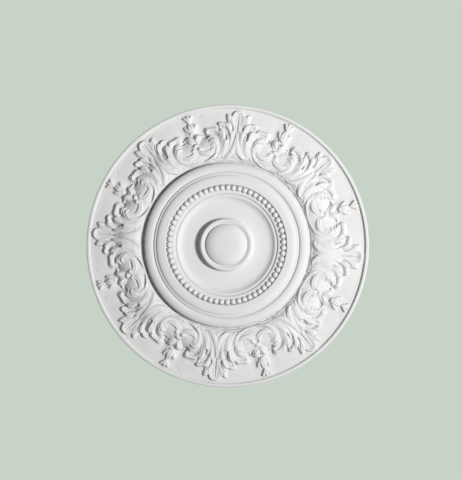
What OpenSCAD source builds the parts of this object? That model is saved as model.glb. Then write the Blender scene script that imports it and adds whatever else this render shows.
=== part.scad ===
// Ceiling rose: one round casting for the middle of a ceiling.
// It hangs face down. The flat back lies in the plane z = 0 and is fixed to
// the ceiling; the moulded face looks down, to -Z. Sizes are millimetres.
// Heights below are all measured from the back towards the face.

/* [Disc] */
// Diameter over the outer lip
rose_d = 600; // [590:1:760]
// Thickness of the plain margin behind the leaf tips
margin_h = 10; // [8:0.5:13]
// Flat top of the raised outer lip
lip_w = 5; // [3:0.5:8]
// Slope between the lip and the margin
lip_slope = 3.2; // [2:0.2:5]
// How far the lip stands above the margin
lip_rise = 4; // [1.5:0.5:6]

/* [Centre boss] */
// Radius of the domed disc in the middle
dome_r = 42.6; // [36:0.2:54]
// Rise of the dome from its edge to its middle
dome_rise = 7.2; // [4:0.2:9]
// Height of the dome's edge
dome_h = 42.3; // [40:0.1:44]
// Width of the groove round the dome
boss_groove_w = 2.4; // [1.5:0.1:4]
// Width of the round ring outside the groove
boss_ring_w = 10.4; // [8:0.2:16]
// Height of the boss ring's crest
boss_h = 42.3; // [40:0.1:46]
// Soft flare from the boss ring's foot out to the field
boss_flare_w = 6; // [4:0.5:14]

/* [Field] */
// Height of the smooth field between boss and beads
field_h = 26.3; // [22:0.1:30]
// Width of the hollow slope that ends the field
cavetto_w = 22; // [16:0.5:26]
// Height of the small lip at the top of that slope
cavetto_h = 34.3; // [33:0.1:36]

/* [Bead row] */
// Number of beads
bead_count = 63; // [56:1:66]
// Turn of the first bead from the X axis, in degrees
first_bead = 3.1; // [-6:0.1:6]
// Bead diameter
bead_d = 12; // [10:0.1:13]
// Height of the channel floor that the beads sit on
channel_h = 35.2; // [33:0.1:36.5]
// How far a bead's middle stands above the channel floor
bead_lift = 1.6; // [0.4:0.2:3]
// Width of the channel
channel_w = 14.4; // [13:0.2:19]
// Small round fillet inside the channel
fillet_w = 3.6; // [3:0.2:6]
// Height of that fillet
fillet_h = 37.4; // [36.5:0.1:39]

/* [Large ring] */
// Flat band outside the beads
band_w = 20; // [12:0.5:24]
// Height of the flat band
band_h = 41.5; // [40:0.1:44]
// Width of each of the two small steps beyond the band
step_w = 3.2; // [2:0.2:5]
// Drop of each small step
step_drop = 1.3; // [0.6:0.1:2]
// Width of the large half-round
torus_w = 20.2; // [16:0.2:26]
// Height of the large half-round's crest
torus_h = 37.6; // [36:0.2:42]
// Width of the hollow between the half-round and the carving
hollow_w = 6.2; // [4:0.2:12]

/* [Carved band] */
// Number of palmettes round the rose
repeats = 8; // [7:1:9]
// Turn of the first palmette from the X axis, in degrees
first_turn = 5.25; // [-22:0.25:22]
// Width of the carved band, from its inner edge to the lip
carving_w = 111.8; // [104:0.2:136]
// Height of the ground where the carving starts
foot_h = 23; // [20:0.5:25]
// Height of the cushion's crown
crown_h = 28.6; // [26:0.2:31]
// Distance of the crown from the carving's inner edge
crown_d = 13; // [10:0.5:18]
// Height of the cushion just before it drops to the margin
brow_h = 20.5; // [17:0.5:23]
// Distance of that edge from the carving's inner edge
brow_d = 48; // [42:0.5:60]
// Width of the drop from the cushion to the margin
drop_w = 7; // [4:0.5:12]
// Height of the leaves above the margin at their tips
tip_rise = 6.8; // [5:0.2:9]
// Height of the leaf ribs above the cushion
rib_rise = 3.4; // [2:0.2:5]

/* [Hidden] */
$fn = 96;
rose_r = rose_d / 2;
foot_r = rose_r - lip_w - lip_slope - carving_w;
torus_r = foot_r - hollow_w;
steps_r = torus_r - torus_w;
band_r = steps_r - 2 * step_w;
channel_r = band_r - band_w;
fillet_r = channel_r - channel_w;
cavetto_r = fillet_r - fillet_w;
field_r = cavetto_r - cavetto_w;
bead_r = channel_r - bead_d / 2;
boss_r = dome_r + boss_groove_w + boss_ring_w;
bay = 360 / repeats;
buried = 4;

// Points of a quarter round that leaves p upright and reaches q level
function rise(p, q, n) = [for (i = [0:n]) let(t = 90 * i / n)
    [p[0] + (q[0] - p[0]) * (1 - cos(t)), p[1] + (q[1] - p[1]) * sin(t)]];

// Points of a quarter round that leaves p level and reaches q upright
function dip(p, q, n) = [for (i = [0:n]) let(t = 90 * i / n)
    [p[0] + (q[0] - p[0]) * sin(t), p[1] + (q[1] - p[1]) * (1 - cos(t))]];

// Half of the turned section, from the middle outwards
function boss_section() = let(crest = dome_r + boss_groove_w + boss_ring_w * 0.6) concat(
    [for (i = [0:8]) [dome_r * i / 8, dome_h + dome_rise * (1 - pow(i / 8, 4.2))]],
    [[dome_r + boss_groove_w * 0.2, dome_h - 1.4], [dome_r + boss_groove_w * 0.45, dome_h - 2.9]],
    [[dome_r + boss_groove_w * 0.75, dome_h - 2.9], [dome_r + boss_groove_w, boss_h - 2.3]],
    [[crest - boss_ring_w * 0.3, boss_h - 1], [crest, boss_h]],
    dip([crest + 0.6, boss_h], [boss_r - 0.2, boss_h - 4], 5),
    [[boss_r + 0.2, field_h + 2.2]],
    [for (i = [1:4]) [boss_r + boss_flare_w * i / 4, field_h + 1.8 * pow(1 - i / 4, 3)]]);

function field_section() = concat(
    [[field_r, field_h]],
    [for (i = [1:7])
        let(k = (1 - cos(180 * pow(i / 7, 1.6))) / 2)
        [field_r + (cavetto_w - 4) * i / 7, field_h + (cavetto_h - field_h) * k]],
    [[cavetto_r - 2.4, cavetto_h - 0.2], [cavetto_r - 1.2, cavetto_h - 1.2]],
    [[cavetto_r - 0.4, cavetto_h - 3], [cavetto_r, cavetto_h - 3.2]],
    [[cavetto_r + 0.4, fillet_h - 3.2], [cavetto_r + 0.8, fillet_h - 1]],
    [[cavetto_r + 1.6, fillet_h - 0.1], [cavetto_r + fillet_w * 0.75, fillet_h]],
    [[fillet_r + 0.8, fillet_h - 0.6], [fillet_r + 4, channel_h + 0.7], [fillet_r + 8, channel_h + 0.2]]);

function ring_section() = let(mid = steps_r + torus_w * 0.34, tread = band_h - 2.6 - step_drop) concat(
    [[channel_r - 1.6, channel_h], [channel_r - 0.3, channel_h + 0.2], [channel_r, band_h - 1.2]],
    [[channel_r + 0.8, band_h], [band_r - band_w * 0.4, band_h - 0.2]],
    [[band_r - 3.8, band_h - 1.1], [band_r - 0.4, band_h - 2.6]],
    [[band_r, tread], [band_r + step_w, tread - 0.2]],
    [[steps_r - 1.8, tread - 0.4], [steps_r - 1, tread - 1.6 * step_drop]],
    [[steps_r - 0.2, tread - 2.2 * step_drop]],
    rise([steps_r, tread - 2 * step_drop], [mid, torus_h], 5),
    dip([mid + 1, torus_h], [torus_r - 0.2, torus_h - 7], 6),
    [[torus_r, torus_h - 9.6], [torus_r + 0.3, foot_h - 4.4]],
    [[foot_r - hollow_w * 0.5, foot_h - 2.4], [foot_r + 0.6, foot_h + 0.4]]);

// Height of the cushion under the carving, d mm out from the carving's inner edge
function ground(d) =
    d < crown_d ? foot_h + (crown_h - foot_h) * sin(90 * max(d, 0) / crown_d)
    : d < brow_d ? crown_h - (crown_h - brow_h) * pow((d - crown_d) / (brow_d - crown_d), 1.6)
    : d < brow_d + drop_w ? brow_h - (brow_h - margin_h) * pow((d - brow_d) / drop_w, 0.8)
    : margin_h;

function band_section() = concat(
    [for (d = [3:3:brow_d]) [foot_r + d, ground(d)]],
    [for (k = [0.25, 0.6]) [foot_r + brow_d + drop_w * k, ground(brow_d + drop_w * k)]],
    [[foot_r + brow_d + drop_w, margin_h], [rose_r - lip_w - lip_slope, margin_h]],
    [[rose_r - lip_w - lip_slope * 0.3, margin_h + lip_rise - 0.8], [rose_r - lip_w, margin_h + lip_rise]],
    [[rose_r - 1.5, margin_h + lip_rise], [rose_r, margin_h + lip_rise - 1.5], [rose_r, 0], [0, 0]]);

// The turned body: domed boss, field, fillet, band, half-round, cushion, margin and lip
module turned_body() {
    color("white")
    rotate_extrude($fn = 192)
    polygon(concat(boss_section(), field_section(), ring_section(), band_section()));
}

// The row of beads that stands in its channel
module beads() {
    color("white")
    for (i = [0:bead_count - 1])
        rotate([0, 0, first_bead + 360 * i / bead_count])
        translate([bead_r, 0, channel_h + bead_lift])
        sphere(d = bead_d, $fn = 24);
}

// A place in the carving: a is degrees from the palmette's axis in a 45 degree
// bay, d is millimetres out from the inner edge of the carving
function place(a, d) = let(t = a * bay / 45, r = foot_r + d) [r * cos(t), r * sin(t)];

function bez(p, t) = let(s = 1 - t)
    p[0] * s * s * s + p[1] * 3 * s * s * t + p[2] * 3 * s * t * t + p[3] * t * t * t;

// Value along a line from three values: start, middle and end
function along(v, t) = t < 0.5 ? v[0] + (v[1] - v[0]) * t * 2 : v[1] + (v[2] - v[1]) * (t * 2 - 1);

// Height of the leaves' upper surface, d mm out from the carving's inner edge
function leaf_top(d) = let(tip = margin_h + tip_rise, k = min(max((d - 34) / 50, 0), 1))
    (ground(min(d, brow_d)) + rib_rise) * (1 - k) + tip * k;

// The folds of half a palmette, from its axis outwards. Each fold is a line of
// four guide points [a, d] and its height over the leaf surface at foot, middle
// and tip: ridges stand over it, valleys and the drilled eyes lie under it.
folds = [
    [[[0, 14], [0, 40], [0, 70], [0, 106]], [1, 1.6, -0.6]],
    [[[2.2, 4], [0.2, 40], [2.6, 62], [2.7, 99]], [0.6, 0.6, 0.6]],
    [[[3.4, 3], [1.6, 30], [1.9, 60], [3.5, 91]], [-0.8, -1.6, -4.4]],
    [[[4.2, 3], [1.9, 30], [2.4, 66], [5, 101]], [0.6, 0.8, 0.2]],
    [[[5.2, 3], [2.3, 28], [2, 66], [5.7, 83]], [-0.8, -3.4, -4.6]],
    [[[6, 3], [3, 26], [2.8, 70], [6.4, 88]], [0.6, 1, 0.4]],
    [[[7.8, 3], [3.8, 22], [3.6, 72], [9.3, 84]], [0.2, 0.4, 0.4]],
    [[[9, 3], [4.4, 20], [5.6, 66], [9.6, 74]], [-0.8, -5, -5]],
    [[[10, 3], [5.2, 18], [6.4, 62], [10.4, 73]], [0.4, 1, -0.4]],
    [[[11.4, 3], [6.2, 18], [7.2, 60], [10.9, 68]], [-0.6, -1.2, -3.4]],
    [[[12.4, 3], [6.8, 18], [7.8, 62], [12.2, 76]], [0.4, 1, 0.4]],
    [[[14, 3], [7.8, 15], [9, 62], [14.2, 75]], [0.2, 0.6, 0.2]],
    [[[15.4, 3], [8.6, 14], [9.8, 60], [16.2, 70]], [-0.2, 0, -1]],
    [[[16.6, 3], [9.2, 13], [10.4, 54], [15.6, 61]], [-1.2, -2.4, -3.6]],
    [[[18.4, 3], [9.8, 11], [11, 50], [15, 58]], [-0.4, 1.6, 0.6]],
    [[[20.4, 2.4], [10.8, 8], [12, 44], [14.6, 51]], [-3, -0.6, -0.8]]
];
stations = 6;

// Points of one fold; side is 1 or -1
function fold_line(f, side) = [for (j = [0:stations - 1])
    let(t = 1 - pow(1 - j / (stations - 1), 1.25), q = bez(f[0], t))
    concat(place(side * q[0], q[1]), [leaf_top(q[1]) + along(f[1], t)])];

// A closed sheet over m lines of n points each: top, underside and the four edges
function sheet(m, n) = let(b = m * n) concat(
    [for (i = [0:m - 2]) for (j = [0:n - 2])
        let(k = i * n + j)
        each [[k, k + n, k + 1], [k + 1, k + n, k + n + 1]]],
    [for (i = [0:m - 2]) for (j = [0:n - 2])
        let(k = b + i * n + j)
        each [[k, k + 1, k + n], [k + 1, k + n + 1, k + n]]],
    [for (j = [0:n - 2]) each [[j, j + 1, b + j], [b + j, j + 1, b + j + 1]]],
    [for (j = [0:n - 2]) let(k = (m - 1) * n + j) each [[k, b + k, k + 1], [b + k, b + k + 1, k + 1]]],
    [for (i = [0:m - 2]) let(k = i * n) each [[k, b + k, k + n], [b + k, b + k + n, k + n]]],
    [for (i = [0:m - 2]) let(k = i * n + n - 1) each [[k, k + n, b + k], [b + k, k + n, b + k + n]]]);

// The fluted fan of one palmette, one sheet of folds from side to side
module palmette() {
    last = len(folds) - 1;
    lines = [for (i = [-last:last]) fold_line(folds[abs(i)], i < 0 ? -1 : 1)];
    top = [for (l = lines) for (q = l) q];
    under = [for (q = top) [q[0], q[1], margin_h - buried]];
    color("white")
    polyhedron(points = concat(top, under), faces = sheet(2 * last + 1, stations), convexity = 8);
}

// Faces that join n rows of m points and close both ends
function skin(n, m) = concat(
    [for (i = [0:n - 2]) for (j = [0:m - 1]) let(k = (j + 1) % m)
        each [[i * m + j, i * m + k, (i + 1) * m + j], [i * m + k, (i + 1) * m + k, (i + 1) * m + j]]],
    [[for (j = [m - 1:-1:0]) j], [for (j = [0:m - 1]) (n - 1) * m + j]]);

function plan(p, t) = let(q = bez(p, t)) place(q[0], q[1]);

// A raised band along a curve: guide points p, half-widths w and heights h over the ground
module band(p, w, h, n) {
    rows = [for (i = [0:n])
        let(t = i / n)
        let(c = plan(p, t), g = ground(bez(p, t)[1]))
        let(u = plan(p, min(t + 0.02, 1)) - plan(p, max(t - 0.02, 0)))
        let(v = [-u[1], u[0]] / norm(u))
        [for (s = [[-1, 0], [-0.6, 1], [0.5, 0.9], [1, 0]])
            [c[0] + v[0] * along(w, t) * s[0], c[1] + v[1] * along(w, t) * s[0],
                g - buried + (buried + along(h, t)) * s[1]]]];
    color("white")
    polyhedron(points = [for (row = rows) for (q = row) q], faces = skin(n + 1, 4), convexity = 6);
}

module both_sides() {
    children();
    mirror([0, 1, 0]) children();
}

// The two C-scrolls of a bay: each an open ring with a thick rounded end
module scrolls() {
    color("white")
    both_sides()
    band([[13.2, 38], [12.4, 13], [21.8, 11], [21.2, 32]], [3, 4.6, 3.4], [3.4, 3, 4.4], 7);
}

// A small pointed leaf from p to q, with half-width w and middle height h over the margin
module leaflet(p, q, w, h) {
    u = (q - p) / norm(q - p);
    v = [-u[1], u[0]];
    rows = [for (k = [[0, 0.4, 0.5], [0.45, 1, 1], [0.8, 0.85, 0.9], [1, 0.25, 0.6]])
        let(c = p + (q - p) * k[0], z = margin_h + h * k[2])
        [for (s = [[-1, 0], [0, 1], [1, 0]])
            [c[0] + v[0] * w * k[1] * s[0], c[1] + v[1] * w * k[1] * s[0],
                margin_h - buried + (z - margin_h + buried) * s[1]]]];
    color("white")
    polyhedron(points = [for (row = rows) for (q = row) q], faces = skin(4, 3), convexity = 4);
}

// The drop between two scrolls: a berry, two small leaves, a bud and a bell
module husk_drop() {
    color("white")
    rotate([0, 0, bay / 2]) {
        translate([foot_r + 41, 0, ground(41) + 1])
        sphere(r = 4.6, $fn = 24);
        translate([foot_r, 0, 0]) {
            both_sides() {
                leaflet([44, 2], [66, 15], 6.5, 14);
                leaflet([64, 2], [91, 8.5], 7, 8);
                leaflet([90, 1], [104, 5.6], 3.4, 5);
            }
            leaflet([61, 0], [95, 0], 7.5, 11.5);
            leaflet([88, 0], [107, 0], 3.8, 6.5);
        }
    }
}

// All the carving, one bay after another
module carving() {
    color("white")
    for (i = [0:repeats - 1])
        rotate([0, 0, first_turn + i * bay]) {
            palmette();
            scrolls();
            husk_drop();
        }
}

// The whole casting, turned face down
module rose() {
    color("white")
    mirror([0, 0, 1]) {
        turned_body();
        beads();
        carving();
    }
}

rose();
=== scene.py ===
# %% [markdown]
# # A ceiling rose, one cell at a time
#
# The rose is a single round casting that hangs face down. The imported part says
# where it lies and how large it is; here it gets its fine carving, its matt
# white skin, soft light and a camera. Lengths are worked out in millimetres, and
# heights are measured from the flat back. They are turned into metres, and the
# rose is turned face down, when the casting is joined.

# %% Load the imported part
import math

import bmesh
import bpy
import numpy as np
from mathutils import Matrix, Vector


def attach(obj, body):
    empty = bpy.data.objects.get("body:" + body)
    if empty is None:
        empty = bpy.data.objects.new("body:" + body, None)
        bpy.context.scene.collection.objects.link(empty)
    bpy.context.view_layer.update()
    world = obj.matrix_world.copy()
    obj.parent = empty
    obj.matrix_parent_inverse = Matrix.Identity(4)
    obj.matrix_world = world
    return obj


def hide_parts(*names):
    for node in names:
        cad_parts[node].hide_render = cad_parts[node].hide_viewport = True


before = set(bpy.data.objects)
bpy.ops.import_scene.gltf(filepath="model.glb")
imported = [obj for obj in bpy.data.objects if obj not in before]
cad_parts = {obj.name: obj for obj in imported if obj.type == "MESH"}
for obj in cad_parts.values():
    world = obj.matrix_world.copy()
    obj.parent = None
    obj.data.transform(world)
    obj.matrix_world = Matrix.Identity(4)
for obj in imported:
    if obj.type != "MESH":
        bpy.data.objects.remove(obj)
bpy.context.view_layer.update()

# %% [markdown]
# ## Sizes
#
# The names follow the part. "out" is the distance outwards from the foot of the
# large ring, where the carving starts.

# %% Sizes in millimetres
ROSE_R = 300.0          # outer lip
LIP_W = 5.0
LIP_SLOPE = 3.2
CARVING_W = 111.8
FOOT_R = ROSE_R - LIP_W - LIP_SLOPE - CARVING_W
MARGIN_H = 10.0         # thickness of the plain margin
LIP_H = 14.0
BAYS = 8
HALF_BAY = 180.0 / BAYS  # degrees; each bay is two mirrored halves
FIRST_TURN = 5.25
SPREAD = 1.007          # stretches the carving outwards a little
MM = 0.001
print("carving from r", FOOT_R, "to r", FOOT_R + CARVING_W)

# %% [markdown]
# ## Curves
#
# Three small tools: a curve through four guide points, a value that runs
# through start, middle and end, and a smooth curve through stations that never
# overshoots them.

# %% Curve tools
def guide_curve(points, t):
    points = np.asarray(points, float)
    s = 1 - t
    weights = np.stack([s**3, 3 * s * s * t, 3 * s * t * t, t**3], -1)
    return weights @ points


def through_three(values, t):
    start, middle, end = values
    return start * (1 - t) * (1 - 2 * t) + middle * 4 * t * (1 - t) + end * t * (2 * t - 1)


def station_slopes(xs, ys):
    """Slope at each station that keeps the curve between its neighbours."""
    step = np.diff(xs)[:, None]
    rise = np.diff(ys, axis=0) / step
    slopes = np.zeros_like(ys)
    w1 = 2 * step[1:] + step[:-1]
    w2 = step[1:] + 2 * step[:-1]
    same_way = rise[1:] * rise[:-1] > 0
    safe_a = np.where(same_way, rise[:-1], 1)
    safe_b = np.where(same_way, rise[1:], 1)
    slopes[1:-1] = np.where(same_way, (w1 + w2) / (w1 / safe_a + w2 / safe_b), 0)
    return slopes


def through_stations(x, xs, ys):
    """Smooth curve through stations xs, ys at the places x; ys may have columns."""
    xs = np.asarray(xs, float)
    ys = np.asarray(ys, float)
    slopes = station_slopes(xs, ys)
    x = np.clip(x, xs[0], xs[-1])
    k = np.clip(np.searchsorted(xs, x, side="right") - 1, 0, len(xs) - 2)
    width = (xs[k + 1] - xs[k])[:, None]
    t = ((x - xs[k])[:, None]) / width
    h00 = (1 + 2 * t) * (1 - t) ** 2
    h10 = t * (1 - t) ** 2
    h01 = t * t * (3 - 2 * t)
    h11 = t * t * (t - 1)
    return h00 * ys[k] + h10 * width * slopes[k] + h01 * ys[k + 1] + h11 * width * slopes[k + 1]


print("half way along a straight guide:", guide_curve([(0, 0), (1, 1), (2, 2), (3, 3)], 0.5))

# %% [markdown]
# ## The sheet of clay
#
# We carve one half bay on a fine grid, as a height over the back. Columns go
# round from the palmette's axis (0 degrees) to the middle of the drop between
# two scrolls (22.5 degrees); rows go out from the large ring.

# %% Grid of half a bay
GRID = 0.5              # mm between rows
SQUARE_AT_R = 240       # at this radius the columns are as far apart as the rows
INNER = -9.0            # the sheet starts a little under the ring's wall
OUTER = CARVING_W + 2.0  # and ends a little under the lip
columns = int(round(math.radians(HALF_BAY) * SQUARE_AT_R / GRID))
out_rows = np.arange(INNER, OUTER, GRID)
around = np.arange(columns + 1) * HALF_BAY / columns
ANGLE, OUT = np.meshgrid(around, out_rows)


def plan(angle, out):
    r = (FOOT_R + out) * SPREAD
    t = np.radians(angle)
    return r * np.cos(t), r * np.sin(t)


PX, PY = plan(ANGLE, OUT)
print("grid", ANGLE.shape)

# %% [markdown]
# ## The bed
#
# First the broad form: a loft. Each row is a distance out from the ring, each
# column a direction, and the numbers are heights in millimetres.

# %% Loft the bed
BED_ANGLES = [0, 3, 6, 9, 12, 15, 18, 20.5, 22.5]
BED_OUT = [-6, 0, 6, 14, 26, 38, 48, 56, 64, 76, 90, 108]
BED = [
    [21.4, 20.3, 21.2, 21.3, 21.2, 23.1, 22.6, 23, 23.1],
    [22.3, 22.8, 23.5, 23.3, 23.7, 24.3, 25.1, 25.1, 24.9],
    [26.5, 25.7, 26.7, 26.7, 26.6, 25.9, 25.7, 25.7, 25.9],
    [29.4, 28.5, 29.5, 29, 28.4, 27.7, 27.2, 27.2, 27],
    [28.5, 29.2, 29.9, 28.1, 28.5, 27, 26.7, 27.4, 26.7],
    [26.5, 27.7, 29, 25.5, 27.7, 24.2, 23.3, 22.4, 21.9],
    [21.8, 24.5, 23.4, 22.9, 22.3, 19.9, 17.4, 18.9, 19.3],
    [18.7, 21.7, 18.2, 20.5, 17.7, 16.9, 12.1, 18.5, 13.8],
    [17.6, 17.7, 16.8, 17.8, 17.8, 16.5, 9.6, 13.6, 14.6],
    [15.6, 16.7, 14, 13.1, 11.7, 11.2, 9.8, 13.6, 14.3],
    [14.5, 13.3, 11.3, 10.8, 10.4, 10.1, 9.3, 9.9, 11.5],
    [9.5, 9, 9, 9, 9, 9, 9, 9, 9],
]


def loft_bed():
    along_out = through_stations(out_rows, BED_OUT, BED)
    return through_stations(around, BED_ANGLES, along_out.T).T


bed = loft_bed()
print("bed runs from", bed.min(), "to", bed.max(), "mm")

# %% [markdown]
# ## The tool strokes
#
# Every leaf edge, curl, berry and drilled eye is one stroke. A stroke has four
# guide points (degrees, mm out), its crest height at start, middle and end, its
# half-width to the left and right of the line, and how round each flank is. A
# "raise" stroke builds up from the bed; a "cut" stroke sinks by its depth.

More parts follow.
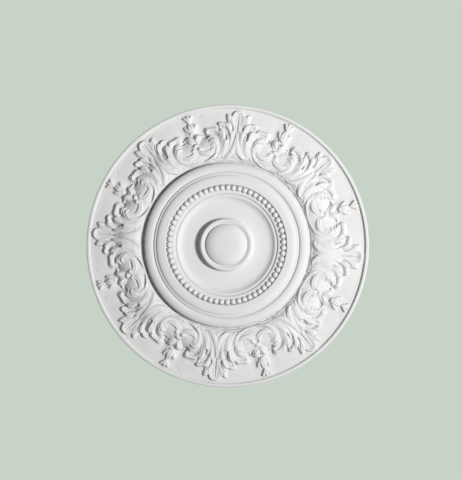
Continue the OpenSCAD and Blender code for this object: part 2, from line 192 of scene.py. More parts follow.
# %% The list of strokes
STROKES = [
    ("finger rim", "raise", [(1.58, 61.7), (3.07, 78.4), (3.11, 103.1), (0.23, 103.2)],
     (17.5, 15.3, 15.4), (1.7, 2.1, 2.7), (2.2, 5.7, 6.8), 0.51, 0.42),
    ("finger mid", "raise", [(-0.46, 65.7), (-0.09, 73.7), (0.21, 83.9), (0.49, 95.4)],
     (17.4, 14.6, 14.5), (1.8, 2.6, 3.7), (2, 2.6, 3.1), 0.9, 1),
    ("side lobe", "raise", [(3.12, 62.1), (2.42, 81.6), (4.35, 92.9), (4.5, 94.8)],
     (17.4, 16.7, 14.8), (3.3, 8.3, 5.3), (0.8, 6.5, 3.4), 0.92, 0.35),
    ("leaf D1", "raise", [(3.13, 56.1), (3.8, 66.7), (4.82, 78.9), (6.1, 75.4)],
     (19.7, 19.7, 17.9), (2.8, 6.8, 6.4), (0.8, 3.9, 3), 0.35, 0.35),
    ("leaf D2", "raise", [(5.96, 73.4), (7.12, 79.1), (9.14, 79.5), (8.91, 75.2)],
     (18.2, 17.3, 16.5), (5, 7.2, 5.7), (1.9, 3.8, 1.3), 0.35, 0.43),
    ("leaf F", "raise", [(6.12, 39), (5.93, 53.9), (6.2, 64.4), (9.73, 62.5)],
     (26.2, 24.6, 19.6), (5.2, 8.5, 5), (1.4, 2.7, 3.2), 0.35, 0.41),
    ("leaf G1", "raise", [(7.71, 53), (8.81, 66.9), (11.28, 68.2), (13.25, 66.4)],
     (24.2, 19.5, 18), (4.9, 6, 3.8), (1.8, 2.7, 2.2), 0.58, 0.35),
    ("leaf G2", "raise", [(12.21, 66.7), (12.87, 69.3), (13.96, 69.5), (15.25, 64.9)],
     (15.5, 17.5, 17.9), (4, 5.2, 4.5), (1.7, 2.2, 1.9), 0.74, 0.54),
    ("leaf G3", "raise", [(14.92, 69.5), (16.43, 65.8), (16.24, 59.2), (15.68, 51.1)],
     (16.4, 15, 16.8), (4.2, 3.7, 3.8), (2.3, 1.4, 2.1), 0.97, 0.35),
    ("leaf H", "raise", [(10.59, 37.1), (10.84, 46.7), (11.61, 55.4), (14.1, 52.5)],
     (24.5, 22.2, 21.4), (4, 5.1, 4.7), (1.3, 2.6, 3.6), 0.76, 0.43),
    ("curl 1", "raise", [(11.3, 44.5), (12.81, 48.3), (13.99, 51.6), (14.79, 47)],
     (26, 23.1, 21.2), (1.8, 2.4, 1.8), (2.7, 4.1, 2), 0.38, 0.35),
    ("curl 2", "raise", [(11.08, 34.3), (12.39, 45.4), (13.71, 42.8), (14.43, 40.5)],
     (28.7, 26.9, 24.8), (1.8, 3.1, 2), (3.4, 3.8, 2), 0.35, 0.35),
    ("stem", "raise", [(21.2, 1.6), (12.23, 0.2), (9.73, 18.7), (10.16, 41.7)],
     (25, 29.9, 26.2), (2.5, 3, 4), (2.5, 3.3, 2.2), 0.88, 0.53),
    ("ring", "raise", [(12.17, 31.6), (12.78, 11.4), (21.88, 11.9), (20.84, 30.9)],
     (26.7, 30.1, 26.7), (2.9, 5.1, 3.4), (2.4, 5.8, 3.4), 0.49, 0.35),
    ("bulb", "raise", [(20.37, 28.3), (20.88, 32.7), (20.5, 32.8), (20.48, 34.2)],
     (28.2, 27.6, 24.3), (4.2, 3.7, 5.1), (4.1, 4.2, 3.3), 0.48, 0.78),
    ("bulb 2", "raise", [(13.55, 34), (13.57, 33.4), (13.55, 33.7), (13.7, 34.6)],
     (26, 27.4, 24.6), (3, 3.2, 3), (3, 3.2, 3), 0.5, 0.51),
    ("berry", "raise", [(22.42, 37.6), (23.23, 40.1), (22.73, 39.4), (22.75, 39.4)],
     (25.1, 26.5, 24.7), (5.1, 4.2, 4), (5.5, 4.2, 2.4), 0.35, 0.39),
    ("calyx side", "raise", [(21.24, 43.3), (19.71, 50.9), (19.5, 55.8), (18.04, 57)],
     (21.4, 18.9, 14.3), (2.5, 4.2, 1.8), (3, 3.4, 1.3), 0.62, 0.57),
    ("calyx mid", "raise", [(21.62, 48.9), (20.39, 55.1), (19.68, 62.3), (19.77, 63.3)],
     (21.9, 19.5, 12.7), (2.2, 4.8, 2.2), (1.7, 5.2, 1.8), 0.36, 0.49),
    ("calyx axis", "raise", [(21.86, 47.1), (22.23, 55.2), (21.67, 59.4), (22.35, 59)],
     (21.5, 18.6, 13.6), (2.7, 3.5, 2.4), (2.4, 3.7, 2.4), 0.65, 0.63),
    ("bud side", "raise", [(22.35, 67.2), (20.54, 76.6), (19.57, 82.9), (20.46, 84.6)],
     (18.5, 15.6, 12.7), (2.4, 4, 3.1), (2.3, 4.4, 2.8), 0.35, 0.75),
    ("bud mid", "raise", [(21.68, 66.6), (22.32, 73.3), (22.07, 80.3), (22, 88.5)],
     (16.2, 18.1, 13.7), (2.3, 4.6, 2.5), (2.8, 6.2, 1.5), 0.35, 0.35),
    ("bell side", "raise", [(22.45, 91), (21.9, 96), (21.6, 100.5), (21, 102.8)],
     (14.6, 14.4, 13.7), (1.6, 3.4, 3.2), (1.6, 3.4, 3.2), 0.4, 0.4),
    ("bell mid", "raise", [(22.6, 90.5), (22.5, 96), (22.5, 100), (22.5, 104.4)],
     (13.4, 15, 13.7), (1.8, 3.8, 3.6), (1.8, 3.8, 3.6), 0.4, 0.4),
    ("ogive", "raise", [(-0.5, 54.8), (-0.47, 33.4), (1.4, 10.8), (6.09, 3.5)],
     (22.6, 31, 27.2), (1.5, 6.3, 2.5), (5, 6.3, 5.1), 0.48, 1.12),
    ("eye 1", "cut", [(2.31, 64.4), (2.23, 69.9), (2.52, 74.6), (4.11, 84)],
     (2.27, 1.86, 1.71), (2, 1.1, 1.6), (1.1, 1.4, 1.1), 0.4, 0.58),
    ("eye 2", "cut", [(5.62, 44), (5.7, 50.2), (6.16, 59.2), (7.33, 62.5)],
     (3.25, 3.14, 0.97), (2.7, 2.8, 1.7), (3.4, 1.8, 1.4), 0.48, 0.56),
    ("eye 3", "cut", [(8.99, 63), (9.71, 64.6), (9.03, 69.2), (10.04, 72)],
     (1.79, 1.89, 1.1), (2.1, 3.2, 0.8), (2.2, 3.1, 1.1), 0.44, 0.35),
    ("notch", "cut", [(14.41, 52.5), (17.18, 51.1), (16, 50.9), (16.54, 60.9)],
     (2.41, 2.37, 1.54), (1.2, 3.5, 3.2), (1.9, 3.6, 3.4), 0.35, 0.36),
    ("ring line", "cut", [(14.94, 26.6), (13.62, 14.4), (20.55, 14.8), (21.5, 25.7)],
     (0.47, 0.71, 0.99), (1, 1.6, 1.5), (1, 1.5, 1), 0.94, 0.96),
    ("rib 1", "cut", [(8.07, 1.8), (4.49, 17.9), (2.92, 35.4), (3.59, 54.1)],
     (0.41, 0.76, 1.34), (1.2, 1.8, 1.5), (1.3, 1.8, 1.1), 0.92, 0.96),
    ("rib 2", "cut", [(10.59, 1.8), (5.54, 16.9), (3.6, 33.5), (4.16, 56.6)],
     (0.23, 0.23, 2.33), (1.1, 2.2, 3.9), (1.3, 2, 2.2), 0.71, 0.97),
    ("rib 3", "cut", [(13.52, 1.2), (8.55, 18.4), (6.78, 30.4), (6.38, 40.3)],
     (0.37, 0.54, 0.66), (0.9, 2.1, 1.3), (1.5, 1, 1), 0.96, 1.03),
    ("rib 4", "cut", [(17.08, 3.8), (9.47, 14.9), (7.31, 31.4), (6.72, 48.7)],
     (0.23, 0.47, 0.23), (1.1, 2.5, 0.8), (1.4, 2.1, 1.4), 0.94, 0.92),
    ("rib 5", "cut", [(20.33, 2.7), (10.39, 7.8), (8.45, 29.9), (10.07, 52.4)],
     (1.45, 0.23, 1.4), (1.2, 2.2, 2.9), (1.2, 1.9, 2.9), 0.83, 0.87),
    ("fine rib 1", "raise", [(2.87, 51.9), (3.31, 34.2), (4.78, 18.1), (7.99, 3.5)],
     (23.4, 28.5, 27.3), (1.2, 1.5, 1.2), (1.1, 1.5, 1.2), 0.8, 0.8),
    ("fine rib 2", "raise", [(4.83, 42.6), (5.8, 30.1), (7.2, 15), (11.04, 4.2)],
     (27.2, 28.6, 27.3), (1.3, 1.5, 1.2), (1.2, 1.5, 1.2), 0.8, 0.8),
    ("fine rib 3", "raise", [(8.34, 52.6), (7.44, 31.9), (8.96, 13.9), (13.63, 2.9)],
     (23.4, 27.8, 27.7), (1.3, 1.6, 1.3), (1.3, 1.4, 1.3), 0.77, 0.79),
    ("calyx tip", "raise", [(18.97, 57.5), (18.39, 58.2), (17.45, 57.8), (17.26, 57.2)],
     (17.7, 14.5, 15.5), (1.4, 1.2, 1.1), (2.4, 2.8, 2.2), 0.82, 0.86),
    ("bud tip", "raise", [(19.53, 82.8), (20.57, 86.9), (21.36, 86.9), (22.06, 84.8)],
     (13.3, 12.1, 14.2), (1.4, 1.8, 1.4), (2, 2.2, 2), 0.8, 0.84),
    ("bud groove", "cut", [(21.43, 69.4), (20.98, 76), (20.96, 81.8), (21.43, 87.6)],
     (0.87, 0.81, 1.07), (1, 1, 1.1), (1, 1.1, 1), 1, 1),
    ("finger groove", "cut", [(1.15, 69.8), (1.26, 80), (1.55, 88), (1.62, 97.9)],
     (0.28, 0.1, 0.56), (1, 1.1, 1.1), (0.9, 1.1, 0.9), 1, 1),
    ("lobe groove", "cut", [(2.53, 79.9), (3.33, 85.3), (3.6, 91.3), (3.61, 95.9)],
     (0.69, 0.97, 0.86), (1.1, 1.6, 1.1), (1.1, 1.1, 1.1), 0.79, 0.83),
    ("hollow D", "cut", [(4.49, 61.5), (5.33, 70.9), (6.73, 73.3), (8.52, 73)],
     (1.28, 0.81, 0.36), (2.5, 2.4, 2.2), (2.5, 2.4, 2), 0.97, 1.02),
    ("hollow G", "cut", [(10.33, 53.9), (11.25, 59.9), (13.23, 62.9), (15.39, 62.2)],
     (0.73, 1.01, 0.48), (2.3, 2.8, 2.2), (2.1, 2.4, 2.2), 0.97, 1.01),
    ("stem line", "cut", [(0, 36), (0, 54), (0, 76), (0, 94)],
     (0.8, 1.7, 1), (1.2, 1.2, 1.3), (1.2, 1.2, 1.3), 1, 1),
    ("foot groove", "cut", [(-1, -4.2), (7, -4.2), (15.5, -4.2), (23.5, -4.2)],
     (1.5, 1.5, 1.5), (1.9, 1.9, 1.9), (1.9, 1.9, 1.9), 1, 1),
]
print(len(STROKES), "strokes")

# %% [markdown]
# ## The shape of one stroke
#
# From every grid point near a stroke we find the nearest place on its line, how
# far away it is and on which side. The flank falls from 1 on the line to 0 at
# the stroke's half-width.

# %% Shape a stroke
LINE_POINTS = 25        # a stroke's curve is followed in this many points
LEAST_WIDTH = 0.4       # mm, half-width of the thinnest stroke
REACH_SHARE = 1.1       # how far from its line a stroke is looked for: this much
REACH_EXTRA = 0.6       # of its widest half-width, and this many mm more
TINY = 1e-9             # keeps a stroke of no length from dividing by zero


def nearest_on_line(line, reach):
    lx, ly = plan(line[:, 0], line[:, 1])
    close = (PX > lx.min() - reach) & (PX < lx.max() + reach)
    close &= (PY > ly.min() - reach) & (PY < ly.max() + reach)
    x, y = PX[close], PY[close]
    ax, ay = lx[:-1, None], ly[:-1, None]
    bx, by = np.diff(lx)[:, None], np.diff(ly)[:, None]
    u = np.clip(((x - ax) * bx + (y - ay) * by) / (bx * bx + by * by + TINY), 0, 1)
    dx, dy = x - ax - u * bx, y - ay - u * by
    far = dx * dx + dy * dy
    k = np.argmin(far, 0)
    i = np.arange(x.size)
    return close, np.sqrt(far[k, i]), (k + u[k, i]) / (len(lx) - 1), (bx * dy - by * dx)[k, i]


def flank(stroke):
    guide, crest, left, right, round_left, round_right = stroke[2:8]
    reach = max(max(left), max(right)) * REACH_SHARE + REACH_EXTRA
    line = guide_curve(guide, np.linspace(0, 1, LINE_POINTS))
    close, away, t, side = nearest_on_line(line, reach)
    on_left = side > 0
    width = np.where(on_left, through_three(left, t), through_three(right, t))
    width = np.maximum(width, LEAST_WIDTH)
    power = np.where(on_left, round_left, round_right)
    rho = np.clip(away / width, 0, 1)
    return close, np.power(1 - rho * rho, power), through_three(crest, t)


first_close = flank(STROKES[0])[0]
print("the first stroke touches", int(first_close.sum()), "grid points")

# %% [markdown]
# ## Carving
#
# First every raised stroke is built up, always from the bed, so that where two
# cross the higher one wins. Then the cuts are sunk into what stands there. A
# fine blur takes off the grid's steps.

# %% Carve the strokes
FINE_BLUR = 0.38        # mm


def carve(bed):
    height = bed.copy()
    for stroke in STROKES:
        if stroke[1] == "raise":
            close, shape, crest = flank(stroke)
            base = bed[close]
            height[close] = np.maximum(height[close], base + np.maximum(crest - base, 0) * shape)
    for stroke in STROKES:
        if stroke[1] == "cut":
            close, shape, depth = flank(stroke)
            height[close] -= depth * shape
    return height


def soften(height, radius):
    """Blur by radius mm, mirrored at both sides of the half bay."""
    n = int(math.ceil(3 * radius / GRID))
    taps = np.exp(-0.5 * (np.arange(-n, n + 1) * GRID / radius) ** 2)
    taps /= taps.sum()
    wide = np.pad(height, ((n, n), (0, 0)), mode="edge")
    wide = sum(w * wide[i:i + height.shape[0]] for i, w in enumerate(taps))
    wide = np.pad(wide, ((0, 0), (n, n)), mode="reflect")
    return sum(w * wide[:, i:i + height.shape[1]] for i, w in enumerate(taps))


clay = soften(carve(bed), FINE_BLUR)
print("clay runs from", round(float(clay.min()), 1), "to", round(float(clay.max()), 1), "mm")

# %% [markdown]
# ## Crisp rims
#
# Cast leaves have crisp rims and deep gaps. Whatever stands out from a wider
# blur is raised, and what lies under it is sunk further, but nothing is sunk
# below the plain margin.

# %% Sharpen the relief
WIDE_BLUR = 4.5         # mm
RAISE_SHARE = 0.55      # of what stands out from that blur
SINK_SHARE = 1.1        # of what lies under it

detail = clay - soften(clay, WIDE_BLUR)
relief = clay + RAISE_SHARE * np.maximum(detail, 0) + SINK_SHARE * np.minimum(detail, 0)
relief = np.maximum(relief, np.minimum(clay, MARGIN_H))
print("carving runs from", round(float(relief.min()), 1), "to", round(float(relief.max()), 1), "mm")

# %% [markdown]
# ## From clay to mesh
#
# The fine grid is thinned where it is flat, keeping triangles for the leaf
# edges. Points by the two straight sides of the half bay are put exactly on
# them, so that its mirrored and turned copies meet without a gap.

# %% Thin the half bay
HALF_BAY_TRIANGLES = 8300
SNAP = 0.04             # degrees; points this near a side go onto it


def grid_mesh(name, x, y, z):
    rows, cols = x.shape
    index = np.arange(rows * cols).reshape(rows, cols)
    quads = np.stack([index[:-1, :-1], index[1:, :-1], index[1:, 1:], index[:-1, 1:]], -1).reshape(-1, 4)
    mesh = bpy.data.meshes.new(name)
    mesh.from_pydata(np.stack([x, y, z], -1).reshape(-1, 3).tolist(), [], quads.tolist())
    return mesh


def thinned(mesh, triangles):
    obj = bpy.data.objects.new("clay", mesh)
    bpy.context.scene.collection.objects.link(obj)
    thin = obj.modifiers.new("thin", "DECIMATE")
    thin.ratio = triangles / (2 * len(mesh.polygons))
    thin.use_collapse_triangulate = True
    ready = obj.evaluated_get(bpy.context.evaluated_depsgraph_get())
    out = ready.to_mesh()
    points = np.array([v.co[:] for v in out.vertices])
    faces = np.array([p.vertices[:] for p in out.polygons])
    ready.to_mesh_clear()
    bpy.data.objects.remove(obj)
    bpy.data.meshes.remove(mesh)
    return points, faces


points, faces = thinned(grid_mesh("clay", PX, PY, relief), HALF_BAY_TRIANGLES)
turn = np.degrees(np.arctan2(points[:, 1], points[:, 0]))
r_plan = np.hypot(points[:, 0], points[:, 1])
turn[turn < SNAP] = 0.0
turn[turn > HALF_BAY - SNAP] = HALF_BAY
points[:, 0] = r_plan * np.cos(np.radians(turn))
points[:, 1] = r_plan * np.sin(np.radians(turn))
print("half bay has", len(faces), "triangles")

# %% [markdown]
# ## The turned rings
#
# Everything that is round is a section turned about the axis: the dome, groove,
# boss ring, field, fillet, bead channel, band, steps and large half-round, down
# to their foot under the carving. The lip and the flat back are a second
# section. A station is a radius and a height over the back.

# %% Draw the sections
INSET = 0.05            # mm, keeps the rim just inside the part's outline


def smooth_section(stations, per_mm):
    """A curved run through the stations, with per_mm points for each mm of radius."""
    r, h = np.array(stations, float).T
    n = max(len(r), int((r[-1] - r[0]) * per_mm) + 2)
    x = np.linspace(r[0], r[-1], n)
    return list(zip(x, through_stations(x, r, h[:, None])[:, 0]))


dome = smooth_section([(0, 49.4), (10, 49.35), (18, 49.1), (24, 48.7), (29, 48.0), (33, 47.0), (36, 45.9),
                       (39, 44.4), (41.6, 42.9), (42.6, 42.2)], per_mm=0.5)
groove = [(43.0, 41.2), (43.3, 40.0), (43.8, 39.3), (44.4, 39.3)]
boss_ring = smooth_section([(45.2, 40.0), (47.2, 40.9), (49.5, 41.8), (51.2, 42.3), (52.6, 42.1),
                            (53.9, 41.4), (54.7, 40.3), (55.2, 38.6)], per_mm=1.2)
field = smooth_section([(55.6, 28.4), (56.0, 27.4), (57.5, 26.8), (60, 26.5), (66, 26.3), (75, 26.2),
                        (84, 26.3), (89, 26.6), (92, 27.0), (94.8, 27.8), (97.2, 29.0), (99.2, 30.5),
                        (100.9, 32.2), (102.3, 33.4), (103.7, 33.9), (105.1, 33.8), (106.1, 33.4)],
                       per_mm=0.5)
fillet = [(106.7, 32.9), (107.1, 32.7), (107.5, 33.4), (108.0, 35.0), (108.7, 36.0), (110.0, 36.5),
          (112.0, 36.8), (113.4, 36.9), (114.8, 36.7), (116.6, 36.1), (120.0, 35.4), (124.6, 35.0)]
channel = [(125.4, 35.3), (126.4, 38.4), (127.0, 40.6), (127.6, 41.3), (128.4, 41.5)]
band = smooth_section([(129.2, 41.55), (134, 41.5), (138.6, 41.3), (141.0, 41.0), (143.2, 40.4),
                       (145.4, 39.6), (146.8, 38.9)], per_mm=0.5)
steps = [(147.2, 37.7), (147.8, 37.5), (149.6, 37.4), (151.6, 37.2), (152.2, 36.6), (152.6, 35.2),
         (153.2, 34.3), (153.8, 34.5)]
large_ring = smooth_section([(154.2, 35.6), (155.2, 36.4), (156.6, 37.0), (158.4, 37.5), (160.4, 37.6),
                             (163.0, 37.4), (165.6, 36.9), (168.0, 36.0), (170.2, 34.9), (171.8, 33.7),
                             (173.0, 32.3), (173.6, 30.8)], per_mm=0.8)
foot = [(173.9, 28.0), (174.1, 23.0), (174.4, 12.0)]
MIDDLE = dome + groove + boss_ring + field + fillet + channel + band + steps + large_ring + foot

lip_in = ROSE_R - LIP_W - LIP_SLOPE
RIM = [(lip_in - 0.6, MARGIN_H - 0.4), (lip_in + 0.4, MARGIN_H), (lip_in + 1.6, LIP_H - 0.8),
       (lip_in + 2.2, LIP_H - 0.2), (lip_in + 3.2, LIP_H), (ROSE_R - 2.0, LIP_H),
       (ROSE_R - 0.8, LIP_H - 0.5), (ROSE_R - INSET, LIP_H - 1.8), (ROSE_R - INSET, 0.3),
       (ROSE_R - 0.2, 0.0), (ROSE_R - 1.0, 0.0), (0.0, 0.0)]
print("turned sections have", len(MIDDLE), "and", len(RIM), "points")

# %% [markdown]
# ## Rings and beads
#
# A section turned about the axis becomes rings of quads. A bead is a ball made
# of a top point and rings of points under it, open below, where it sits in its
# channel.

# %% Turn a ring, make a bead
AROUND = 192            # segments of a turned ring
BEAD_COUNT = 63
BEAD_D = 12.0
BEAD_R = 120.3          # from the axis to a bead's middle
BEAD_H = 36.8           # from the back to a bead's middle
FIRST_BEAD = 3.1        # degrees from the X axis
BEAD_DOWN = [math.radians(a) for a in (24, 46, 66, 84, 104)]    # from its top
BEAD_ROUND = [math.radians(b) for b in range(0, 360, 24)]


def ring_quads(first, second, count):
    """Quads between two rings of points, which start at numbers first and second."""
    i = np.arange(count)
    j = (i + 1) % count
    return [tuple(q) for q in np.stack([first + i, second + i, second + j, first + j], -1)]


def turned(section):
    t = np.linspace(0, 2 * math.pi, AROUND, endpoint=False)
    ring = np.stack([np.cos(t), np.sin(t)], -1)
    pts = np.concatenate([np.column_stack([ring * r, np.full(AROUND, h)]) for r, h in section])
    quads = []
    for k in range(len(section) - 1):
        quads += ring_quads(k * AROUND, (k + 1) * AROUND, AROUND)
    return pts, quads


def bead(angle):
    """One bead, angle radians about the axis."""
    half = BEAD_D / 2
    pts = [(BEAD_R, 0.0, BEAD_H + half)]
    for a in BEAD_DOWN:
        for b in BEAD_ROUND:
            pts.append((BEAD_R + half * math.sin(a) * math.cos(b),
                        half * math.sin(a) * math.sin(b), BEAD_H + half * math.cos(a)))
    n = len(BEAD_ROUND)
    out = [(0, 1 + i, 1 + (i + 1) % n) for i in range(n)]
    for k in range(len(BEAD_DOWN) - 1):
        out += ring_quads(1 + k * n, 1 + (k + 1) * n, n)
    c, s = math.cos(angle), math.sin(angle)
    return np.array([(x * c - y * s, x * s + y * c, z) for x, y, z in pts]), out


print("a bead has", len(bead(0.0)[0]), "points")

# %% [markdown]
# ## Copies in a circle
#
# The half bay is mirrored and turned into eight bays. A mirrored copy lists its
# triangles' corners backwards, so that they face the same way as the others.

# %% Copy the bays, turn the rings, place the beads
parts = []
for bay in range(BAYS):
    angle = math.radians(FIRST_TURN + bay * 360 / BAYS)
    c, s = math.cos(angle), math.sin(angle)
    for side in (1, -1):
        x, y, z = points[:, 0], points[:, 1] * side, points[:, 2]
        order = faces if side == 1 else faces[:, ::-1]
        parts.append((np.stack([x * c - y * s, x * s + y * c, z], -1), [tuple(f) for f in order]))
parts.append(turned(MIDDLE))
parts.append(turned(RIM))
for i in range(BEAD_COUNT):
    parts.append(bead(math.radians(FIRST_BEAD) + 2 * math.pi * i / BEAD_COUNT))
print(len(parts), "stretches of surface")

# %% [markdown]
# ## One casting
#
# They are joined as one piece, in metres. Turning it face down turns every face
# inside out, so the corners are listed backwards once more. Points that meet
# become one.

# %% Join the casting
MERGE_WITHIN = 0.00002  # metres

all_points, all_faces, start = [], [], 0
for pts, fcs in parts:
    all_points.append(pts)
    all_faces += [tuple(int(v) + start for v in f)[::-1] for f in fcs]
    start += len(pts)
all_points = np.concatenate(all_points) * MM
all_points[:, 2] *= -1

mesh = bpy.data.meshes.new("rose_casting")
mesh.from_pydata(all_points.tolist(), [], all_faces)
mesh.validate()
casting = bpy.data.objects.new("rose_casting", mesh)
bpy.context.scene.collection.objects.link(casting)

bm = bmesh.new()
bm.from_mesh(mesh)
bmesh.ops.remove_doubles(bm, verts=bm.verts, dist=MERGE_WITHIN)
bm.to_mesh(mesh)
bm.free()
for polygon in mesh.polygons:
    polygon.use_smooth = True
print("casting has", sum(len(p.vertices) - 2 for p in mesh.polygons), "triangles")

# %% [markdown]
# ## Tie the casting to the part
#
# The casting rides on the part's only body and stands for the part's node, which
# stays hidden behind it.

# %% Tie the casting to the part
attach(casting, "root")
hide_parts("rose")
print(casting.name, "is tied to the part")

# %% [markdown]
# ## The tone of the finish, with painted shade in the hollows
#
# A matt white primer is almost even, with a faint cloudiness and a very fine
# grain, and the hollows are darkened as painted shade. The group mixes a darker
# tone into the plain one for both the cloud and the painted shade, and gives the grain.

# %% Build the tone group
CLOUD_SCALE, CLOUD_DETAIL = 9.0, 4.0
CLOUD_RANGE = (0.3, 0.7)        # from no cloud to full cloud
CLOUD_SHARE = 0.12
# Painted shade: an occlusion test darkens the primer where the surface is closed in.
SHADE_REACH = 0.012            # metres
SHADE_SAMPLES = 8
SHADE_RANGE = (1.0, 0.35)      # from open to deep
PAINTED_SHADE_SHARE = 0.8
GRAIN_SCALE, GRAIN_DETAIL = 700.0, 2.0


def noise(nodes, links, place, scale, detail):
    node = nodes.new("ShaderNodeTexNoise")
    node.inputs["Scale"].default_value = scale
    node.inputs["Detail"].default_value = detail
    links.new(place.outputs["Object"], node.inputs["Vector"])
    return node.outputs["Fac"]


def share_of(nodes, links, value, value_range, share):
    """Turn value_range into 0 to share."""
    node = nodes.new("ShaderNodeMapRange")
    node.inputs["From Min"].default_value = value_range[0]
    node.inputs["From Max"].default_value = value_range[1]
    node.inputs["To Min"].default_value = 0.0
    node.inputs["To Max"].default_value = share
    links.new(value, node.inputs["Value"])
    return node.outputs["Result"]


def primer_tone_group():
    group = bpy.data.node_groups.new("primer_tone", "ShaderNodeTree")
    face = group.interface
    face.new_socket("Tone", in_out="INPUT", socket_type="NodeSocketColor")
    face.new_socket("Cloud and shade tone", in_out="INPUT", socket_type="NodeSocketColor")
    face.new_socket("Color", in_out="OUTPUT", socket_type="NodeSocketColor")
    face.new_socket("Grain", in_out="OUTPUT", socket_type="NodeSocketFloat")
    nodes, links = group.nodes, group.links
    start = nodes.new("NodeGroupInput")
    end = nodes.new("NodeGroupOutput")
    place = nodes.new("ShaderNodeTexCoord")
    cloud = noise(nodes, links, place, CLOUD_SCALE, CLOUD_DETAIL)
    # Painted shade: the hollows are mixed towards the darker tone, as shade falls there.
    hollow = nodes.new("ShaderNodeAmbientOcclusion")
    hollow.samples = SHADE_SAMPLES
    hollow.inputs["Distance"].default_value = SHADE_REACH
    both = nodes.new("ShaderNodeMath")
    both.operation = "ADD"
    both.use_clamp = True
    links.new(share_of(nodes, links, cloud, CLOUD_RANGE, CLOUD_SHARE), both.inputs[0])
    links.new(share_of(nodes, links, hollow.outputs["AO"], SHADE_RANGE, PAINTED_SHADE_SHARE), both.inputs[1])
    mix = nodes.new("ShaderNodeMix")
    mix.data_type = "RGBA"
    links.new(both.outputs["Value"], mix.inputs["Factor"])
    links.new(start.outputs["Tone"], mix.inputs["A"])
    links.new(start.outputs["Cloud and shade tone"], mix.inputs["B"])
    links.new(mix.outputs["Result"], end.inputs["Color"])
    links.new(noise(nodes, links, place, GRAIN_SCALE, GRAIN_DETAIL), end.inputs["Grain"])
    return group


tone_group = primer_tone_group()
print("tone group has", len(tone_group.nodes), "nodes")

# %% [markdown]
# ## The finish
#
# The primer takes its colour, painted shade in the hollows included, from the
# group and its grain as a slight bump. It has hardly any shine.

# %% Build the primer
PRIMER = (0.68, 0.68, 0.675, 1)
# A darker tone, mixed in a little at random as cloudiness and in the hollows as painted shade.
PRIMER_CLOUD_AND_SHADE = (0.58, 0.58, 0.575, 1)
ROUGHNESS = 0.85
SHINE = 0.08
BUMP_STRENGTH = 0.12
BUMP_HEIGHT = 0.0002    # metres


def primer():
    mat = bpy.data.materials.new("rose_white_primer")
    mat.use_nodes = True
    nodes, links = mat.node_tree.nodes, mat.node_tree.links
    shader = nodes["Principled BSDF"]
    tone = nodes.new("ShaderNodeGroup")
    tone.node_tree = tone_group
    tone.inputs["Tone"].default_value = PRIMER
    tone.inputs["Cloud and shade tone"].default_value = PRIMER_CLOUD_AND_SHADE
    links.new(tone.outputs["Color"], shader.inputs["Base Color"])
    bump = nodes.new("ShaderNodeBump")
    bump.inputs["Strength"].default_value = BUMP_STRENGTH
    bump.inputs["Distance"].default_value = BUMP_HEIGHT
    links.new(tone.outputs["Grain"], bump.inputs["Height"])
    links.new(bump.outputs["Normal"], shader.inputs["Normal"])
    shader.inputs["Roughness"].default_value = ROUGHNESS
    shader.inputs["Specular IOR Level"].default_value = SHINE
    return mat


casting.data.materials.append(primer())
print("finish:", casting.data.materials[0].name)

# %% [markdown]
# ## Lamps
#
# One soft lamp stands below and to the right, so the carving throws short
# shadows to the left. It is aimed past the rose, so that its light fades a
# little across it. A weaker lamp above lights the flat back when the rose is
# seen from there. Sizes are in metres and powers in watts.

# %% Lamps
KEY_RISE = math.radians(50)     # how far down from the ceiling it stands
KEY_TURN = math.radians(5)      # from the X axis
KEY_AWAY, KEY_SIZE, KEY_POWER = 4.0, 0.8, 270
KEY_AIM = (0, -4.5, 0)
BACK_TOWARDS = (0.5, 0.4, 1.0)
BACK_AWAY, BACK_SIZE, BACK_POWER = 3.0, 1.6, 60

scene = bpy.context.scene
scene.view_settings.view_transform = "Standard"
scene.view_settings.look = "None"


def lamp(name, direction, distance, size, power, look_at=(0, 0, 0)):
    data = bpy.data.lights.new(name, "AREA")
    data.shape = "DISK"
    data.size = size
    data.energy = power
    obj = bpy.data.objects.new(name, data)
    scene.collection.objects.link(obj)
    obj.location = Vector(direction).normalized() * distance
    facing = obj.location - Vector(look_at)
    obj.rotation_euler = facing.to_track_quat("Z", "Y").to_euler()
    return obj


key_towards = (math.cos(KEY_RISE) * math.cos(KEY_TURN),
               math.cos(KEY_RISE) * math.sin(KEY_TURN), -math.sin(KEY_RISE))
key = lamp("key_lamp", key_towards, KEY_AWAY, KEY_SIZE, KEY_POWER, look_at=KEY_AIM)
back = lamp("back_lamp", BACK_TOWARDS, BACK_AWAY, BACK_SIZE, BACK_POWER)
print("lamps:", key.name, back.name)

# %% [markdown]
# ## Surround
#
# A pale green-grey surround is what the camera sees behind the rose. What
# lights the rose from all round is plain white and weak.

# %% Surround
SURROUND_SEEN = (0.578, 0.651, 0.578, 1)
SURROUND_LIGHT = (1.0, 1.0, 1.0, 1)
SURROUND_POWER = 0.17

world = bpy.data.worlds.new("pale_surround")
world.use_nodes = True
scene.world = world
nodes, links = world.node_tree.nodes, world.node_tree.links
nodes.clear()
seen = nodes.new("ShaderNodeBackground")
seen.inputs["Color"].default_value = SURROUND_SEEN
fill = nodes.new("ShaderNodeBackground")
fill.inputs["Color"].default_value = SURROUND_LIGHT
fill.inputs["Strength"].default_value = SURROUND_POWER
rays = nodes.new("ShaderNodeLightPath")
choose = nodes.new("ShaderNodeMixShader")
links.new(rays.outputs["Is Camera Ray"], choose.inputs["Fac"])
links.new(fill.outputs["Background"], choose.inputs[1])
links.new(seen.outputs["Background"], choose.inputs[2])
world_out = nodes.new("ShaderNodeOutputWorld")
links.new(choose.outputs["Shader"], world_out.inputs["Surface"])
print("surround:", world.name)

# %% [markdown]
# ## Floor
#
# The floor lies far below and only shows in side views and from above. It glows
# a little, so that it stays pale out there, and it lights nothing.

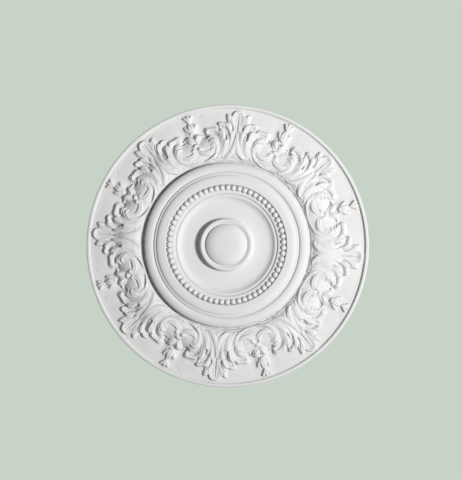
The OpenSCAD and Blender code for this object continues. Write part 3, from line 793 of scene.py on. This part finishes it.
# %% Floor
FLOOR_SIZE, FLOOR_Z = 60, -6.0      # metres
FLOOR_PAINT = (0.70, 0.72, 0.70, 1)
FLOOR_ROUGHNESS = 0.9
FLOOR_GLOW = (0.58, 0.62, 0.58, 1)
FLOOR_GLOW_STRENGTH = 0.8

bpy.ops.mesh.primitive_plane_add(size=FLOOR_SIZE, location=(0, 0, FLOOR_Z))
floor = bpy.context.object
floor.name = "floor"
floor.visible_diffuse = False
floor.visible_shadow = False
pale = bpy.data.materials.new("pale_floor")
pale.use_nodes = True
paint = pale.node_tree.nodes["Principled BSDF"]
paint.inputs["Base Color"].default_value = FLOOR_PAINT
paint.inputs["Roughness"].default_value = FLOOR_ROUGHNESS
paint.inputs["Emission Color"].default_value = FLOOR_GLOW
paint.inputs["Emission Strength"].default_value = FLOOR_GLOW_STRENGTH
floor.data.materials.append(pale)
print("floor at", FLOOR_Z, "m")

# %% [markdown]
# ## Camera
#
# The camera looks almost straight up at the face, leaning a few degrees. Its
# lens grows with its distance, so that the rose keeps its size in the frame.

# %% Camera
CAMERA_AWAY = 2.4               # metres
LENS_PER_METRE = 35.377         # mm of lens for each metre of distance
SENSOR_HEIGHT = 36.0            # mm
LEAN = math.radians(4.1)
LEAN_TOWARDS = math.radians(39)
AIM = Vector((0.0089, -0.0110, -0.013))

away = Vector((math.sin(LEAN) * math.cos(LEAN_TOWARDS),
               math.sin(LEAN) * math.sin(LEAN_TOWARDS), -math.cos(LEAN)))
cam_data = bpy.data.cameras.new("camera")
cam_data.sensor_fit = "VERTICAL"
cam_data.sensor_height = SENSOR_HEIGHT
cam_data.lens = CAMERA_AWAY * LENS_PER_METRE
camera = bpy.data.objects.new("camera", cam_data)
scene.collection.objects.link(camera)
forward = -away
right = forward.cross(Vector((0, -1, 0))).normalized()
up = right.cross(forward)
turn_to = Matrix((right, up, -forward)).transposed().to_4x4()
camera.matrix_world = Matrix.Translation(AIM + away * CAMERA_AWAY) @ turn_to
scene.camera = camera
print("camera", [round(v, 3) for v in camera.location])
